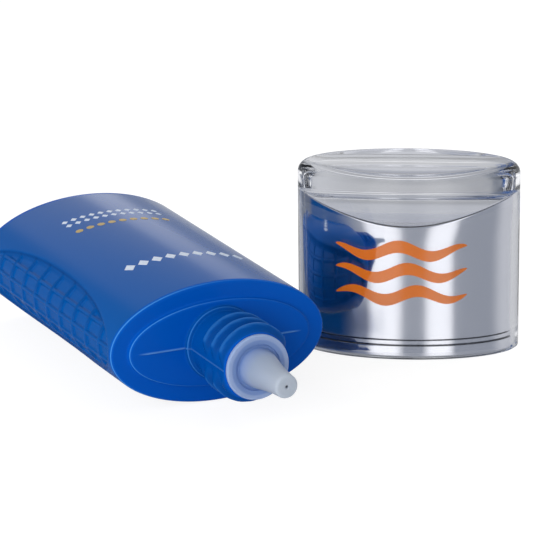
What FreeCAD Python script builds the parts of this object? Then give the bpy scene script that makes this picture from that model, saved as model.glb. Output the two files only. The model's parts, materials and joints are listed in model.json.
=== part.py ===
import FreeCAD, Part
import math
import os
import re
import Sketcher

from FreeCAD import Placement, Rotation, Vector

# Oval squeeze bottle for sunscreen, laid on its back, with its nozzle plug in the neck and
# its two-wall oval cap standing on its mouth beside it. Lengths are millimetres.
# The bottle is drawn about its own axis: local z runs from the shoulder plane to the neck,
# local x across the wide oval, local y out of the front face. The cap is drawn standing,
# local z up from its mouth, so that the two local frames coincide when the cap is on.

SIZES = {
    # bottle body
    "shoulder_width": 45.0,
    "body_length": 70.5,
    "width_flare": 2.1,
    "depth_flare": 0.9,
    "shoulder_wall": 1.4,
    "base_floor": 0.8,
    "base_edge_round": 2.0,
    "shoulder_edge_round": 0.6,
    "base_dish_border": 5.0,
    "base_dish_depth": 0.7,
    # shoulder plateau, neck and the collar at the neck's root
    "plateau_border": 3.5,
    "plateau_height": 1.0,
    "plateau_edge_round": 0.5,
    "neck_radius": 6.6,
    "neck_length": 17.0,
    "neck_wall": 1.2,
    "collar_step": 0.8,
    "collar_height": 0.9,
    "collar_edge_round": 0.5,
    "thread_height": 1.4,
    # grip panels in the two narrow sides
    "panel_margin": 3.45,
    "panel_height": 14.2,
    "panel_depth": 0.35,
    "panel_wall": 0.7,
    "panel_lip": 0.6,
    "cell_depth": 0.35,
    "rib_width": 0.8,
    "row_angle": 16.1,
    "cross_pitch": 6.45,
    # nozzle plug
    "plug_gap": 0.05,
    "flange_inset": 0.25,
    "flange_thickness": 0.9,
    "flange_edge_round": 0.3,
    "skirt_length": 8.0,
    "skirt_wall": 1.0,
    "ring_groove_width": 0.7,
    "ring_groove_depth": 0.4,
    "nozzle_root_radius": 3.8,
    "nozzle_waist_radius": 2.9,
    "nozzle_tip_radius": 2.3,
    "nozzle_length": 12.3,
    "nozzle_tip_round": 0.8,
    "nozzle_wall": 1.1,
    "orifice_radius": 0.75,
    "orifice_length": 1.6,
    # cap: threaded insert inside a bright sleeve inside a clear shell
    "thread_clearance": 0.2,
    "insert_wall": 1.0,
    "insert_lip": 0.2,
    "insert_plate": 1.2,
    "plateau_clearance": 0.6,
    "flange_clearance": 0.4,
    "nozzle_clearance": 0.5,
    "tip_clearance": 0.2,
    "chimney_wall": 0.7,
    "seal_pin_clearance": 0.15,
    "seal_pin_length": 1.0,
    "fit_gap": 0.1,
    "sleeve_wall": 0.7,
    "sleeve_foot": 0.4,
    "sleeve_groove_height": 2.6,
    "sleeve_groove_width": 1.3,
    "sleeve_groove_depth": 0.25,
    "vault_headroom": 0.7,
    "vault_rise": 5.2,
    "clear_wall": 1.7,
    "clear_top": 6.1,
    "clear_edge_round": 4.0,
    # where the cap stands beside the bottle, and how far it is turned
    "cap_gap": 5.8,
    "cap_setback": 15.5,
    "cap_yaw": 59.1,
}

CELL_ROWS = 5
CELL_COLUMNS = 10

# What fits together takes its size from the driving sizes through these formulas.
FITS = {
    "thread_bore": "neck_radius + thread_height + thread_clearance",
    "insert_half_depth": "thread_bore + insert_wall + insert_lip",
    "sleeve_half_depth": "insert_half_depth + fit_gap + sleeve_wall",
    "cavity_half_depth": "sleeve_half_depth + fit_gap",
    "shoulder_half_depth": "cavity_half_depth + clear_wall",
    "shoulder_half_width": "shoulder_width / 2",
    "cavity_half_width": "shoulder_half_width - clear_wall",
    "sleeve_half_width": "cavity_half_width - fit_gap",
    "insert_half_width": "sleeve_half_width - sleeve_wall - fit_gap",
    "base_half_width": "shoulder_half_width + width_flare / 2",
    "base_half_depth": "shoulder_half_depth + depth_flare / 2",
    "body_wall": "panel_depth + cell_depth + panel_wall",
    "panel_length": "body_length - 2 * panel_margin",
    "neck_bore": "neck_radius - neck_wall",
    "skirt_outer": "neck_bore - plug_gap",
    "skirt_inner": "skirt_outer - skirt_wall",
    "skirt_end": "neck_length - skirt_length",
    "flange_radius": "neck_radius - flange_inset",
    "flange_face": "neck_length + flange_thickness",
    "groove_floor": "flange_face - ring_groove_depth",
    "groove_outer": "nozzle_root_radius + ring_groove_width",
    "nozzle_waist": "flange_face + nozzle_length / 2",
    "nozzle_tip": "flange_face + nozzle_length",
    "orifice_end": "nozzle_tip - orifice_length",
    "nozzle_inner_root": "nozzle_root_radius - nozzle_wall",
    "nozzle_inner_tip": "nozzle_tip_radius - nozzle_wall",
    "insert_floor": "plateau_height + plateau_clearance",
    "insert_shelf": "flange_face + flange_clearance",
    "chimney_root": "nozzle_root_radius + nozzle_clearance",
    "chimney_tip": "nozzle_tip_radius + nozzle_clearance",
    "chimney_roof": "nozzle_tip + tip_clearance",
    "chimney_top": "chimney_roof + chimney_wall",
    "vault_ridge": "chimney_top + vault_headroom + sleeve_wall",
    "vault_radius": "(sleeve_half_depth ^ 2 + vault_rise ^ 2) / (2 * vault_rise)",
    "vault_axis": "vault_ridge - vault_radius",
    "cap_height": "vault_ridge + fit_gap + clear_top",
}

doc = FreeCAD.newDocument("sunscreen_bottle")


def linked(formula):
    # Points each word of a formula at the sheet that holds it.
    def cell(match):
        word = match.group()
        if word in SIZES:
            return "Sizes." + word
        return "Fits." + word if word in FITS else word
    return re.sub(r"[a-z_]+", cell, formula)


def fill(name, table, prefix):
    sheet = doc.addObject("Spreadsheet::Sheet", name)
    for row, (alias, content) in enumerate(table.items(), start=1):
        sheet.set(f"A{row}", alias)
        sheet.set(f"B{row}", prefix + str(content))
        sheet.setAlias(f"B{row}", alias)
    doc.recompute()
    return sheet


sizes = fill("Sizes", SIZES, "")
fits = fill("Fits", {alias: linked(formula) for alias, formula in FITS.items()}, "=")


def value(alias):
    return float((sizes if alias in SIZES else fits).get(alias))


def add(kind, name, formulas):
    item = doc.addObject(kind, name)
    for prop, formula in formulas.items():
        item.setExpression(prop, linked(formula))
    return item


def oval(name, half_width, half_depth, height):
    return add("Part::Ellipse", name, {
        "MajorRadius": half_width, "MinorRadius": half_depth, "Placement.Base.z": height})


def oval_prism(name, half_width, half_depth, foot, height):
    prism = add("Part::Extrusion", name, {"LengthFwd": height})
    prism.Base = oval(name + "_outline", half_width, half_depth, foot)
    prism.DirMode = "Normal"
    prism.Solid = True
    return prism


def body_loft(name, inset, floor, roof):
    # The tapering oval of the body, drawn in by an inset all round, from floor to roof.
    loft = doc.addObject("Part::Loft", name)
    loft.Sections = [
        oval(name + "_base", f"base_half_width - ({inset})", f"base_half_depth - ({inset})", floor),
        oval(name + "_shoulder", f"shoulder_half_width - ({inset})", f"shoulder_half_depth - ({inset})", roof),
    ]
    loft.Solid = True
    loft.Ruled = True
    return loft


def cylinder(name, radius, foot, height):
    return add("Part::Cylinder", name, {"Radius": radius, "Placement.Base.z": foot, "Height": height})


def cone(name, foot_radius, top_radius, foot, height):
    return add("Part::Cone", name, {
        "Radius1": foot_radius, "Radius2": top_radius, "Placement.Base.z": foot, "Height": height})


def fuse(name, shapes):
    item = doc.addObject("Part::MultiFuse", name)
    item.Shapes = shapes
    return item


def common(name, shapes):
    item = doc.addObject("Part::MultiCommon", name)
    item.Shapes = shapes
    return item


def cut(name, base, tool):
    item = doc.addObject("Part::Cut", name)
    item.Base = base
    item.Tool = tool
    return item


def rounded(name, base, edges):
    # Rounds the edges that lie wholly at each height of the pairs (height, radius).
    doc.recompute()
    item = doc.addObject("Part::Fillet", name)
    item.Base = base
    chosen = []
    for number, edge in enumerate(base.Shape.Edges, start=1):
        box = edge.BoundBox
        for height, radius in edges:
            if max(abs(box.ZMin - height), abs(box.ZMax - height)) < Part.Precision.confusion() * 1000:
                chosen.append((number, radius, radius))
    item.Edges = chosen
    return item


def panel_prism(name, inset):
    # The panels' outline, an oval seen from the narrow side, run right through the body.
    outline = add("Part::Ellipse", name + "_outline", {
        "MajorRadius": f"panel_length / 2 - ({inset})", "MinorRadius": f"panel_height / 2 - ({inset})",
        "Placement.Base.z": "-body_length / 2"})
    outline.Placement.Rotation = Rotation(Vector(0, 1, 0), -90)
    prism = add("Part::Extrusion", name, {"LengthFwd": "shoulder_width", "LengthRev": "shoulder_width"})
    prism.Base = outline
    prism.DirMode = "Normal"
    prism.Solid = True
    return prism


def cell_blocks():
    # One block for each cell of the grip grid, its floor flat and square to the oval there.
    # What stays between neighbouring blocks is the grid of ribs.
    blocks = []
    for side in (0, 180):
        for column in range(CELL_COLUMNS):
            middle = (column - (CELL_COLUMNS - 1) / 2) * value("cross_pitch") - value("body_length") / 2
            share = -middle / value("body_length") / 2
            half_width = value("shoulder_half_width") + share * value("width_flare") - value("panel_depth")
            half_depth = value("shoulder_half_depth") + share * value("depth_flare") - value("panel_depth")
            for row in range(CELL_ROWS):
                angles = [side + (row - CELL_ROWS / 2 + edge) * value("row_angle") for edge in (0, 1)]
                ends = [Vector(half_width * math.cos(math.radians(angle)),
                               half_depth * math.sin(math.radians(angle)), 0) for angle in angles]
                across = ends[1] - ends[0]
                facing = math.degrees(math.atan2(across.y, across.x)) - 90
                block = add("Part::Box", f"cell_{side}_{column}_{row}", {
                    "Length": "body_length", "Height": "cross_pitch - rib_width"})
                block.Width = across.Length - value("rib_width")
                turn = Rotation(Vector(0, 0, 1), facing)
                corner = turn.multVec(Vector(-value("cell_depth"), -block.Width.Value / 2, 0))
                start = (ends[0] + ends[1]) / 2 + corner
                start.z = middle - (value("cross_pitch") - value("rib_width")) / 2
                block.Placement = Placement(start, turn)
                blocks.append(block)
    grid = doc.addObject("Part::Compound", "cell_blocks")
    grid.Links = blocks
    return grid


def grip_panels():
    # Cutters for both panels: the field down to the rib tops, and the cells between the ribs.
    field = cut("panel_cutter", panel_prism("panel_field", "0"),
                body_loft("rib_tops", "panel_depth", "-body_length", "0"))
    cells = common("cell_cutter", [cell_blocks(), panel_prism("cell_field", "panel_lip")])
    return field, cells


def bottle_body():
    blank = rounded("body_blank", body_loft("body_outer", "0", "-body_length", "0"), [
        (-value("body_length"), value("base_edge_round")), (0.0, value("shoulder_edge_round"))])
    plateau = rounded("plateau", oval_prism(
        "plateau_block", "shoulder_half_width - plateau_border", "shoulder_half_depth - plateau_border",
        "0", "plateau_height"), [(value("plateau_height"), value("plateau_edge_round"))])
    collar_top = value("plateau_height") + value("collar_height")
    collar = rounded("collar", cylinder(
        "collar_block", "neck_radius + collar_step", "0", "plateau_height + collar_height"),
        [(collar_top, value("collar_edge_round"))])
    neck = cylinder("neck", "neck_radius", "0", "neck_length")
    cavity = body_loft("cavity", "body_wall", "base_floor + base_dish_depth - body_length", "-shoulder_wall")
    bore = cylinder("neck_hole", "neck_bore", "-2 * shoulder_wall", "neck_length + 2 * shoulder_wall")
    dish = oval_prism("base_dish", "base_half_width - base_dish_border",
                      "base_half_depth - base_dish_border", "-body_length", "base_dish_depth")
    solid = fuse("body_solid", [blank, plateau, collar, neck])
    hollow = cut("body_hollow", solid, fuse("body_hollows", [cavity, bore, dish]))
    field, cells = grip_panels()
    return cut("bottle_body", cut("body_with_panels", hollow, field), cells)


def nozzle_plug():
    # One turned profile: skirt in the neck, flange on its rim, grooved ring, hollow nozzle.
    corners = [
        ("skirt_inner", "skirt_end"), ("skirt_outer", "skirt_end"), ("skirt_outer", "neck_length"),
        ("flange_radius", "neck_length"), ("flange_radius", "flange_face"),
        ("groove_outer", "flange_face"), ("groove_outer", "groove_floor"),
        ("nozzle_root_radius", "groove_floor"), ("nozzle_waist_radius", "nozzle_waist"),
        ("nozzle_tip_radius", "nozzle_tip"), ("orifice_radius", "nozzle_tip"),
        ("orifice_radius", "orifice_end"), ("nozzle_inner_tip", "orifice_end"),
        ("nozzle_inner_root", "neck_length"), ("skirt_inner", "neck_length"),
    ]
    body = doc.addObject("PartDesign::Body", "nozzle_plug")
    sketch = body.newObject("Sketcher::SketchObject", "plug_profile")
    plane = [item for item in body.Origin.OriginFeatures if item.Role == "XZ_Plane"][0]
    sketch.AttachmentSupport = [(plane, "")]
    sketch.MapMode = "FlatFace"
    points = [Vector(value(across), value(along), 0) for across, along in corners]
    for number, point in enumerate(points):
        following = points[(number + 1) % len(points)]
        sketch.addGeometry(Part.LineSegment(point, following), False)
    for number, (across, along) in enumerate(corners):
        following = (number + 1) % len(corners)
        sketch.addConstraint(Sketcher.Constraint("Coincident", number, 2, following, 1))
        for axis, alias in (("DistanceX", across), ("DistanceY", along)):
            index = sketch.addConstraint(Sketcher.Constraint(axis, -1, 1, number, 1, value(alias)))
            sketch.setExpression(f"Constraints[{index}]", linked(alias))
    turned = body.newObject("PartDesign::Revolution", "plug_turned")
    turned.Profile = sketch
    turned.ReferenceAxis = (sketch, ["V_Axis"])
    turned.Angle = 360.0
    doc.recompute()
    previous = turned
    for name, radius, height, blend in (
            ("flange_round", "flange_radius", "flange_face", "flange_edge_round"),
            ("tip_round", "nozzle_tip_radius", "nozzle_tip", "nozzle_tip_round")):
        edges = [f"Edge{number}" for number, edge in enumerate(previous.Shape.Edges, start=1)
                 if isinstance(edge.Curve, Part.Circle)
                 and abs(edge.Curve.Radius - value(radius)) < Part.Precision.confusion() * 1000
                 and abs(edge.Curve.Center.z - value(height)) < Part.Precision.confusion() * 1000]
        fillet = body.newObject("PartDesign::Fillet", name)
        fillet.Base = (previous, edges)
        fillet.setExpression("Radius", linked(blend))
        doc.recompute()
        previous = fillet
    return body


def vault(name, growth):
    # Everything under the barrel roof that runs along the cap's wide axis.
    barrel = add("Part::Cylinder", name + "_barrel", {
        "Radius": f"vault_radius + ({growth})", "Height": "shoulder_width",
        "Placement.Base.x": "-shoulder_width / 2", "Placement.Base.z": "vault_axis"})
    barrel.Placement.Rotation = Rotation(Vector(0, 1, 0), 90)
    block = add("Part::Box", name + "_block", {
        "Length": "shoulder_width", "Width": "2 * shoulder_half_depth", "Height": "vault_axis + clear_wall",
        "Placement.Base.x": "-shoulder_width / 2", "Placement.Base.y": "-shoulder_half_depth",
        "Placement.Base.z": "-clear_wall"})
    return fuse(name, [barrel, block])


def vaulted_oval(name, half_width, half_depth, foot, growth):
    prism = oval_prism(name + "_prism", half_width, half_depth, foot, "cap_height")
    return common(name, [prism, vault(name + "_roof", growth)])


def cap_outer_shell():
    block = oval_prism("shell_block", "shoulder_half_width", "shoulder_half_depth", "0", "cap_height")
    outside = rounded("shell_outside", block, [(value("cap_height"), value("clear_edge_round"))])
    cavity = vaulted_oval("shell_cavity", "cavity_half_width", "cavity_half_depth", "-clear_wall", "fit_gap")
    return cut("cap_outer_shell", outside, cavity)


def cap_silver_sleeve():
    outside = vaulted_oval("sleeve_outside", "sleeve_half_width", "sleeve_half_depth", "sleeve_foot", "0")
    inside = vaulted_oval("sleeve_inside", "sleeve_half_width - sleeve_wall",
                          "sleeve_half_depth - sleeve_wall", "-clear_wall", "-sleeve_wall")
    band = oval_prism("groove_band", "shoulder_half_width", "shoulder_half_depth",
                      "sleeve_groove_height", "sleeve_groove_width")
    core = oval_prism("groove_core", "sleeve_half_width - sleeve_groove_depth",
                      "sleeve_half_depth - sleeve_groove_depth", "0", "cap_height")
    groove = cut("sleeve_groove", band, core)
    return cut("cap_silver_sleeve", outside, fuse("sleeve_hollows", [inside, groove]))


def cap_thread_insert():
    plate = oval_prism("insert_plate_oval", "insert_half_width", "insert_half_depth",
                       "insert_floor", "insert_plate")
    tube = cylinder("insert_tube", "thread_bore + insert_wall", "insert_floor",
                    "insert_shelf + insert_wall - insert_floor")
    chimney = cone("chimney", "chimney_root + chimney_wall", "chimney_tip + chimney_wall",
                   "insert_shelf", "chimney_top - insert_shelf")
    bore = cylinder("insert_bore", "thread_bore", "0", "insert_shelf")
    flue = cone("chimney_flue", "chimney_root", "chimney_tip", "insert_shelf", "chimney_roof - insert_shelf")
    pin = cylinder("seal_pin", "orifice_radius - seal_pin_clearance", "chimney_roof - seal_pin_length",
                   "seal_pin_length + chimney_wall")
    hollow = cut("insert_hollow", fuse("insert_solid", [plate, tube, chimney]),
                 fuse("insert_hollows", [bore, flue]))
    return fuse("cap_thread_insert", [hollow, pin])


bottle_pieces = [bottle_body(), nozzle_plug()]
cap_pieces = [cap_outer_shell(), cap_silver_sleeve(), cap_thread_insert()]
pieces = bottle_pieces + cap_pieces
doc.recompute()


def check_pieces():
    for item in doc.Objects:
        if "Invalid" in item.State or "Error" in item.State:
            raise RuntimeError(f"{item.Name} failed: {item.State}")
    for piece in pieces:
        piece.Label = piece.Name
        if piece.Shape.isNull() or not piece.Shape.isValid() or len(piece.Shape.Solids) != 1:
            raise RuntimeError(f"{piece.Label} is not one valid solid")


check_pieces()

# The bottle lies on its lowest straight line, so its axis dips towards the narrower shoulder.
dip = math.degrees(math.atan2(value("depth_flare") / 2, value("body_length")))
lying = Rotation(Vector(0, 1, 0), dip).multiply(Rotation(Vector(1, 1, 1), 120))
bottle_place = Placement(Vector(0, 0, value("shoulder_half_depth") * math.cos(math.radians(dip))), lying)
yaw = math.radians(value("cap_yaw"))
cap_reach = math.hypot(value("shoulder_half_width") * math.sin(yaw), value("shoulder_half_depth") * math.cos(yaw))
cap_place = Placement(
    Vector(-value("cap_setback"), value("base_half_width") + value("cap_gap") + cap_reach, 0),
    Rotation(Vector(0, 0, 1), value("cap_yaw")))


def place(group, placement, shift):
    for piece in group:
        piece.Placement = Placement(placement.Base + shift, placement.Rotation)


# The origin is under the middle of everything, on the surface that it all rests on.
place(bottle_pieces, bottle_place, Vector())
place(cap_pieces, cap_place, Vector())
doc.recompute()
whole = FreeCAD.BoundBox()
for piece in pieces:
    whole.add(piece.Shape.optimalBoundingBox(False, False))
centring = Vector(-whole.Center.x, -whole.Center.y, 0)
place(bottle_pieces, bottle_place, centring)
place(cap_pieces, cap_place, centring)
doc.recompute()

check_pieces()
os.makedirs("parts", exist_ok=True)
for piece in pieces:
    piece.Shape.exportStep(f"parts/{piece.Label}.step")
    box = piece.Shape.BoundBox
    print(f"{piece.Label}: volume {piece.Shape.Volume:.1f}, z {box.ZMin:.2f} to {box.ZMax:.2f}")
print(f"origin shift {centring.x:.3f} {centring.y:.3f}, dip {dip:.3f} degrees")
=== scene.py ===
import bpy
import json
import math
from mathutils import Matrix, Vector


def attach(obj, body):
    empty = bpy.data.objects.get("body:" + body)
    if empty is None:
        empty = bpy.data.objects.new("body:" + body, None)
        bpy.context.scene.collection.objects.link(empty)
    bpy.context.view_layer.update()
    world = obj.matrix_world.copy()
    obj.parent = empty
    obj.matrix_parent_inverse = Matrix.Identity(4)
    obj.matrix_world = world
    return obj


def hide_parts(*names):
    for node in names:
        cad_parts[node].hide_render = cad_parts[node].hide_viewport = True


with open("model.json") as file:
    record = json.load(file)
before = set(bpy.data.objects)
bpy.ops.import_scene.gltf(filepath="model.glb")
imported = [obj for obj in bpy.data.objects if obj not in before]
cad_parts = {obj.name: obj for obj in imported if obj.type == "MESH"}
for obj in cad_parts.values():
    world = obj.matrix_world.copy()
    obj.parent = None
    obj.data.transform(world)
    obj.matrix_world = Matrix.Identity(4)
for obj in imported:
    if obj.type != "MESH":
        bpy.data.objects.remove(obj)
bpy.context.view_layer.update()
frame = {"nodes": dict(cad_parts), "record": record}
mounts = {mount["name"]: mount for mount in frame["record"]["mounts"]}
scene = bpy.context.scene
print("frame loaded:", ", ".join(sorted(frame["nodes"])))


class Wire:
    # one socket of a node tree; sums on it turn into Math nodes
    def __init__(self, tree, socket=None):
        self.tree = tree
        self.socket = socket

    def node(self, kind, settings={}, values={}, output=0):
        made = self.tree.nodes.new(kind)
        for name, setting in settings.items():
            if name == "stops":
                for number, (place, colour) in enumerate(setting):
                    stops = made.color_ramp.elements
                    stop = stops[number] if number < 2 else stops.new(place)
                    stop.position, stop.color = place, colour
            else:
                setattr(made, name, setting)
        for key, value in values.items():
            if isinstance(value, Wire):
                self.tree.links.new(value.socket, made.inputs[key])
            else:
                made.inputs[key].default_value = value
        return Wire(self.tree, made.outputs[output] if made.outputs else None)

    def out(self, name):
        return Wire(self.tree, self.socket.node.outputs[name])

    def math(self, operation, *terms):
        return self.node("ShaderNodeMath", {"operation": operation}, dict(enumerate(terms)))

    def step(self, low, high):
        return self.node("ShaderNodeMapRange", {"interpolation_type": "SMOOTHSTEP"},
                         {"Value": self, "From Min": low, "From Max": high})

    def __add__(self, other): return self.math("ADD", self, other)
    def __radd__(self, other): return self.math("ADD", other, self)
    def __sub__(self, other): return self.math("SUBTRACT", self, other)
    def __rsub__(self, other): return self.math("SUBTRACT", other, self)
    def __mul__(self, other): return self.math("MULTIPLY", self, other)
    def __rmul__(self, other): return self.math("MULTIPLY", other, self)
    def __truediv__(self, other): return self.math("DIVIDE", self, other)
    def __rtruediv__(self, other): return self.math("DIVIDE", other, self)
    def __pow__(self, other): return self.math("POWER", self, other)
    def __rpow__(self, other): return self.math("POWER", other, self)
    def __abs__(self): return self.math("ABSOLUTE", self)


# places: the pieces are drawn in millimetres, about the bottle's shoulder and the cap's mouth
places = {"neckMiddle": 9.45, "capYaw": 59.1, "millimetre": 0.001}


def axesMatrix(origin, xAxis, yAxis, zAxis):
    turn = Matrix((xAxis, yAxis, zAxis)).transposed().to_4x4()
    return Matrix.Translation(origin) @ turn @ Matrix.Scale(places["millimetre"], 4)


neckAxis = Vector(mounts["neck_outside"]["axis"]).normalized()
neckPlace = Vector(mounts["neck_outside"]["pos_m"])
shoulderPlace = neckPlace - neckAxis * places["neckMiddle"] * places["millimetre"]
acrossAxis = Vector((0, 1, 0))
bottleSpot = axesMatrix(shoulderPlace, acrossAxis, neckAxis.cross(acrossAxis), neckAxis)

capTopPlace = Vector(mounts["cap_top"]["pos_m"])
yaw = math.radians(places["capYaw"])
capSpot = axesMatrix((capTopPlace.x, capTopPlace.y, 0), (math.cos(yaw), math.sin(yaw), 0),
                     (-math.sin(yaw), math.cos(yaw), 0), (0, 0, 1))


# meshes of oval rings: (half width, half depth, inset, height), poles where the size is nothing
def ovalPoint(halfWidth, halfDepth, inset, angle):
    cosine, sine = math.cos(angle), math.sin(angle)
    normal = Vector((cosine * halfDepth, sine * halfWidth)).normalized()
    return halfWidth * cosine - inset * normal.x, halfDepth * sine - inset * normal.y, normal


def ringMesh(name, rings, angles, loop=False):
    points, rows, normals = [], [], []
    for halfWidth, halfDepth, inset, height in rings:
        row = []
        for angle in angles if halfWidth else angles[:1]:
            x, y, normal = 0, 0, Vector((0, 0))
            if halfWidth:
                x, y, normal = ovalPoint(halfWidth, halfDepth, inset, angle)
            row.append(len(points))
            points.append((x, y, height(x, y) if callable(height) else height))
            normals.append(normal)
        rows.append(row)
    faces = []
    for low, high in zip(rows, rows[1:] + rows[:1] if loop else rows[1:]):
        for column in range(len(angles)):
            after = (column + 1) % len(angles)
            corners = [low[column % len(low)], low[after % len(low)],
                       high[after % len(high)], high[column % len(high)]]
            faces.append(list(dict.fromkeys(corners)))  # a pole gives a triangle
    mesh = bpy.data.meshes.new(name)
    mesh.from_pydata(points, [], faces)
    return mesh, rows, normals


def turned(radius, height):
    return radius, radius, 0, height


def evenAngles(count):
    return [2 * math.pi * number / count for number in range(count)]


def arc(radius, count):
    # points round a quarter, as (cosine, sine) times the radius
    turns = [math.radians(90 * number / count) for number in range(count + 1)]
    return [(radius * math.cos(turn), radius * math.sin(turn)) for turn in turns]


def store(mesh, name, values, kind="FLOAT"):
    made = mesh.attributes.new(name, kind, "POINT")
    if kind == "FLOAT":
        made.data.foreach_set("value", values)
    else:
        made.data.foreach_set("vector", [part for value in values for part in value])


def newObject(name, mesh):
    made = bpy.data.objects.new(name, mesh)
    scene.collection.objects.link(made)
    return made


def settle(made, spot, body, slot, material, sharpAngle, *nodes):
    # the last steps of every piece: its place, shading, finish and body
    made.data.transform(spot)
    made.data.shade_smooth()
    made.data.set_sharp_from_angle(angle=math.radians(sharpAngle))
    if not made.data.materials:
        made.data.materials.append(material)
    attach(made, body)
    if nodes:
        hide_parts(*nodes)
    print(made.name, "has", len(made.data.polygons), "faces")


# node trees for the moulded and printed forms
def sizeTree(name, sizes):
    tree = bpy.data.node_groups.new(name, "GeometryNodeTree")
    tree.interface.new_socket("Geometry", in_out="INPUT", socket_type="NodeSocketGeometry")
    for size, value in sizes.items():
        kind = "NodeSocketInt" if isinstance(value, int) else "NodeSocketFloat"
        tree.interface.new_socket(size, in_out="INPUT", socket_type=kind)
    tree.interface.new_socket("Geometry", in_out="OUTPUT", socket_type="NodeSocketGeometry")
    return tree, Wire(tree).node("NodeGroupInput")


def closeTree(geometry, material):
    whole = geometry.node("GeometryNodeRealizeInstances", {}, {"Geometry": geometry})
    dressed = whole.node("GeometryNodeSetMaterial", {}, {"Geometry": whole, "Material": material})
    dressed.node("NodeGroupOutput", {}, {"Geometry": dressed})


def runTree(made, tree, sizes):
    modifier = made.modifiers.new(tree.name, "NODES")
    modifier.node_group = tree
    for item in tree.interface.items_tree:
        if item.in_out == "INPUT" and item.name in sizes:
            modifier[item.identifier] = sizes[item.name]
    graph = bpy.context.evaluated_depsgraph_get()
    mesh = bpy.data.meshes.new_from_object(
        made.evaluated_get(graph), preserve_all_data_layers=True, depsgraph=graph)
    made.modifiers.remove(modifier)
    made.data = mesh
    mesh.name = made.name


def attribute(wire, name, kind="FLOAT"):
    return wire.node("GeometryNodeInputNamedAttribute", {"data_type": kind}, {"Name": name})


def storeField(geometry, name, value, domain="POINT"):
    return geometry.node(
        "GeometryNodeStoreNamedAttribute", {"data_type": "FLOAT", "domain": domain},
        {"Geometry": geometry, "Name": name, "Value": value})


def position(wire):
    spot = wire.node("GeometryNodeInputPosition")
    parts = wire.node("ShaderNodeSeparateXYZ", {}, {"Vector": spot})
    return parts.out("X"), parts.out("Y"), parts.out("Z")


def vector(wire, x, y, z):
    return wire.node("ShaderNodeCombineXYZ", {}, {"X": x, "Y": y, "Z": z})


# finishes
def newMaterial(name):
    material = bpy.data.materials.new(name)
    material.use_nodes = True
    material.node_tree.nodes.clear()
    return material, Wire(material.node_tree)


def closeMaterial(wire, values):
    shader = wire.node("ShaderNodeBsdfPrincipled", {}, values)
    wire.node("ShaderNodeOutputMaterial", {}, {"Surface": shader})


def objectPlace(wire):
    return wire.node("ShaderNodeTexCoord", output="Object")


def mark(wire, name):
    return wire.node("ShaderNodeAttribute", {"attribute_name": name}, {}, "Fac")


def noise(wire, place, scale, detail=2.0, roughness=0.5):
    return wire.node("ShaderNodeTexNoise", {}, {
        "Vector": place, "Scale": scale, "Detail": detail, "Roughness": roughness}, "Fac")


def uneven(pattern, middle, spread):
    # a roughness that follows a pattern, a little over and under its middle
    return pattern * spread + (middle - spread / 2)


def mixColour(factor, first, second):
    return factor.node("ShaderNodeMix", {"data_type": "RGBA"}, {0: factor, 6: first, 7: second}, 2)


def bump(height, distance):
    return height.node("ShaderNodeBump", {}, {"Height": height, "Distance": distance})


# the darkest blue is painted shade in the panel's recesses, on its ribs and on the thread flanks
# the light blue for the rims and thread crests is a painted highlight
# the seam's blue is the mould flash, paler of its own, with a painted highlight on it
# the two random blues are the moulding's own colour
# the wall and neck blues are painted shade, darker on the sides and the neck than on the shoulder
blueFinish = {
    "deep": (0.0, 0.077, 0.43, 1), "pale": (0.0, 0.088, 0.47, 1), "wall": (0.0, 0.086, 0.355, 1),
    "neck": (0.0, 0.068, 0.325, 1), "paintedShade": (0.0, 0.050, 0.22, 1), "edge": (0.06, 0.28, 0.68, 1),
    "flashAndHighlight": (0.10, 0.27, 0.60, 1),
    "cloudScale": 90.0, "cloudDetail": 3.0,
    "peelScale": 950.0, "peelDetail": 1.0, "peelDepth": 0.000012,
    "scuffScale": 420.0, "scuffDetail": 4.0, "scuffGrain": 0.7,
    "roughness": 0.24, "roughnessSpread": 0.08, "gloss": 0.05,
    "skin": 0.02, "skinNear": 0.35, "skinFar": 0.85, "skinRoughness": 0.1,
    "skinLow": -5.0, "skinHigh": 4.0, "skinRecess": 0.5,
}


def blueMoulding():
    # painted highlights on the edges, painted shade in the recesses, on the walls and on the neck
    # the sheen grows towards the base and fades on ribs and lower sides
    material, wire = newMaterial("blueMoulding")
    f = blueFinish
    place = objectPlace(wire)
    cloud = noise(wire, place, f["cloudScale"], f["cloudDetail"])
    peel = noise(wire, place, f["peelScale"], f["peelDetail"])
    scuff = noise(wire, place, f["scuffScale"], f["scuffDetail"], f["scuffGrain"])
    colour = mixColour(cloud, f["deep"], f["pale"])
    for name in ("wall", "neck", "paintedShade", "edge", "flashAndHighlight"):
        colour = mixColour(mark(wire, name), colour, f[name])
    baseShare = (0 - mark(wire, "along")) / bottleBody["length"]
    skin = baseShare * (f["skinFar"] - f["skinNear"]) + f["skinNear"]
    side = mark(wire, "wall") * mark(wire, "aside").step(f["skinLow"], f["skinHigh"])
    ribs = mark(wire, "paintedShade").step(0.0, f["skinRecess"])
    closeMaterial(wire, {
        "Base Color": colour,
        "Roughness": uneven(scuff, f["roughness"], f["roughnessSpread"]),
        "Specular IOR Level": f["gloss"],
        "Coat Weight": skin * side * (1 - ribs) + f["skin"],
        "Coat Roughness": f["skinRoughness"],
        "Normal": bump(peel, f["peelDepth"]),
    })
    return material


naturalFinish = {
    # painted light: the stops paint the neck's blue shining through near the root and a paler tip
    "stops": ((0.0, (0.15, 0.25, 0.52, 1)), (0.06, (0.21, 0.29, 0.50, 1)),
              (0.3, (0.28, 0.34, 0.46, 1)), (1.0, (0.41, 0.46, 0.54, 1))),
    "tintFrom": 17.7, "tintTo": 30.2, "rim": (0.27, 0.36, 0.58, 1), "rimFrom": 5.2, "rimTo": 5.6,
    "cloudScale": 260.0, "cloudDepth": 0.00001, "roughness": 0.4, "roughnessSpread": 0.1,
    "scatter": 0.35, "scatterReach": 0.002, "scatterColour": (1.0, 1.0, 1.0),
}


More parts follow.
